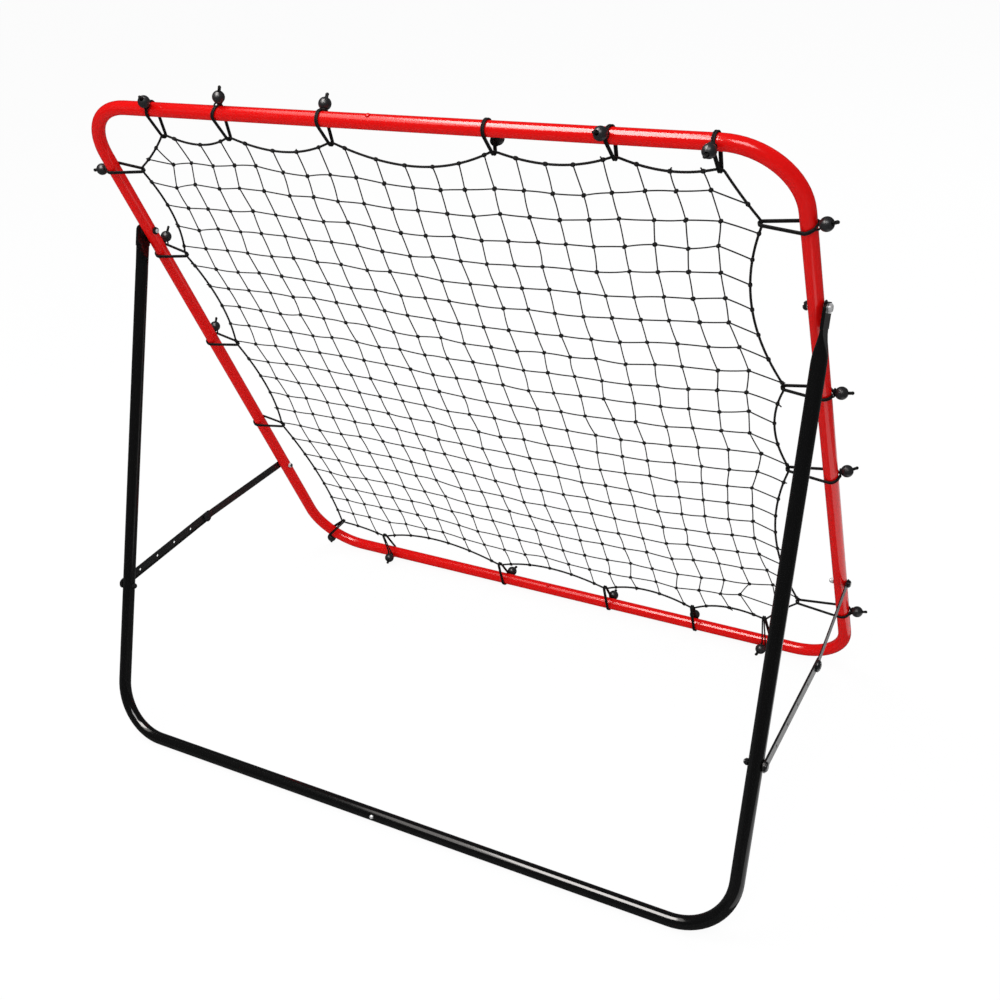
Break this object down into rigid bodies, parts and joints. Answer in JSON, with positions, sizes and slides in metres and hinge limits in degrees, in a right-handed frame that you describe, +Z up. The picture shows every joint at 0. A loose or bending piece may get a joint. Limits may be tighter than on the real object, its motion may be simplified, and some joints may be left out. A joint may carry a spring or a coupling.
{
  "type": "pitch back rebounder",
  "caption": "Tubular steel ball rebounder: a square net frame tied to its net by ball bungees leans over a folding U-shaped support with telescoping braces.",
  "frame": {"origin": "on the ground, under the middle of the object's width and depth as it stands open", "axes": "+Z up, +X along the ground tubes to the right seen from the player, -Y towards the player, on whose side the support stands"},
  "size_m": [1.0692, 0.629, 0.9866],
  "materials": {
    "red_paint": "gloss",
    "black_paint": "gloss",
    "zinc_steel": "satin",
    "dark_steel": "satin",
    "spring_steel": "satin",
    "net_twine": "matte",
    "border_rope": "matte",
    "elastic_cord": "matte",
    "ball_plastic": "gloss"
  },
  "bodies": {
    "net_frame": {"net_frame_left": "red_paint", "net_frame_right": "red_paint", "top_clip_spring": "spring_steel", "bottom_clip_spring": "spring_steel", "pivot_bolts": "zinc_steel", "pivot_nuts": "zinc_steel", "pivot_washers": "black_paint", "frame_brace_bolts": "dark_steel", "frame_brace_nuts": "zinc_steel", "net_mesh": "net_twine", "net_border_rope": "border_rope", "top_balls": "ball_plastic", "right_balls": "ball_plastic", "bottom_balls": "ball_plastic", "left_balls": "ball_plastic", "top_loop_1": "elastic_cord", "top_loop_2": "elastic_cord", "top_loop_3": "elastic_cord", "top_loop_4": "elastic_cord", "top_loop_5": "elastic_cord", "top_loop_6": "elastic_cord", "right_loop_1": "elastic_cord", "right_loop_2": "elastic_cord", "right_loop_3": "elastic_cord", "right_loop_4": "elastic_cord", "bottom_loop_1": "elastic_cord", "bottom_loop_2": "elastic_cord", "bottom_loop_3": "elastic_cord", "bottom_loop_4": "elastic_cord", "bottom_loop_5": "elastic_cord", "corner_loop": "elastic_cord", "left_loop_1": "elastic_cord", "left_loop_2": "elastic_cord", "left_loop_3": "elastic_cord", "left_loop_4": "elastic_cord"},
    "top_button": {"top_snap_button": "red_paint"},
    "bottom_button": {"bottom_snap_button": "red_paint"},
    "support_frame": {"support_leg_left": "black_paint", "support_leg_right": "black_paint", "support_clip_spring": "spring_steel", "leg_brace_bolts": "dark_steel", "leg_brace_nuts": "zinc_steel", "channel_spacers": "black_paint"},
    "support_button": {"support_snap_button": "zinc_steel"},
    "channel_left": {"brace_channel_left": "black_paint"},
    "channel_right": {"brace_channel_right": "black_paint"},
    "strap_left": {"brace_strap_left": "black_paint"},
    "strap_right": {"brace_strap_right": "black_paint"},
    "lock_left": {"lock_screw_left": "dark_steel"},
    "lock_right": {"lock_screw_right": "dark_steel"}
  },
  "joints": [
    {"name": "fold", "type": "hinge", "parent": "net_frame", "child": "support_frame", "pos_m": [0, 0.01282, 0.73858], "axis": [-1, 0, 0], "range_deg": [-18.6, 0]},
    {"name": "channel_left_turn", "type": "hinge", "parent": "support_frame", "child": "channel_left", "pos_m": [0, -0.20849, 0.22961], "axis": [1, 0, 0], "range_deg": [-9.3, 0]},
    {"name": "strap_left_turn", "type": "hinge", "parent": "net_frame", "child": "strap_left", "pos_m": [0, 0.20264, 0.21705], "axis": [-1, 0, 0], "range_deg": [-9.3, 0]},
    {"name": "channel_right_turn", "type": "hinge", "parent": "support_frame", "child": "channel_right", "pos_m": [0, -0.20849, 0.22961], "axis": [1, 0, 0], "range_deg": [-9.3, 0]},
    {"name": "strap_right_turn", "type": "hinge", "parent": "net_frame", "child": "strap_right", "pos_m": [0, 0.20264, 0.21705], "axis": [-1, 0, 0], "range_deg": [-9.3, 0]},
    {"name": "lock_left_unscrew", "type": "slide", "parent": "strap_left", "child": "lock_left", "axis": [1, 0, 0], "range_m": [0, 0.0121]},
    {"name": "lock_right_unscrew", "type": "slide", "parent": "channel_right", "child": "lock_right", "axis": [1, 0, 0], "range_m": [0, 0.0121]},
    {"name": "top_button_press", "type": "slide", "parent": "net_frame", "child": "top_button", "axis": [0, 0.342, -0.9397], "range_m": [0, 0.003], "stiffness_N_per_m": 2000, "springref_m": -0.001, "deforming": ["top_clip_spring"]},
    {"name": "bottom_button_press", "type": "slide", "parent": "net_frame", "child": "bottom_button", "axis": [0, 0.342, -0.9397], "range_m": [0, 0.003], "stiffness_N_per_m": 2000, "springref_m": -0.001, "deforming": ["bottom_clip_spring"]},
    {"name": "support_button_press", "type": "slide", "parent": "support_frame", "child": "support_button", "axis": [0, 0.9171, -0.3987], "range_m": [0, 0.003], "stiffness_N_per_m": 2000, "springref_m": -0.001, "deforming": ["support_clip_spring"]}
  ],
  "couplings": [
    {"joint": "channel_left_turn", "follows": "fold", "ratio": 0.5},
    {"joint": "channel_right_turn", "follows": "fold", "ratio": 0.5},
    {"joint": "strap_left_turn", "follows": "fold", "ratio": 0.5},
    {"joint": "strap_right_turn", "follows": "fold", "ratio": 0.5},
    {"joint": "lock_left_unscrew", "follows": "fold", "m_per_rad": -0.0369},
    {"joint": "lock_right_unscrew", "follows": "fold", "m_per_rad": -0.0369}
  ]
}
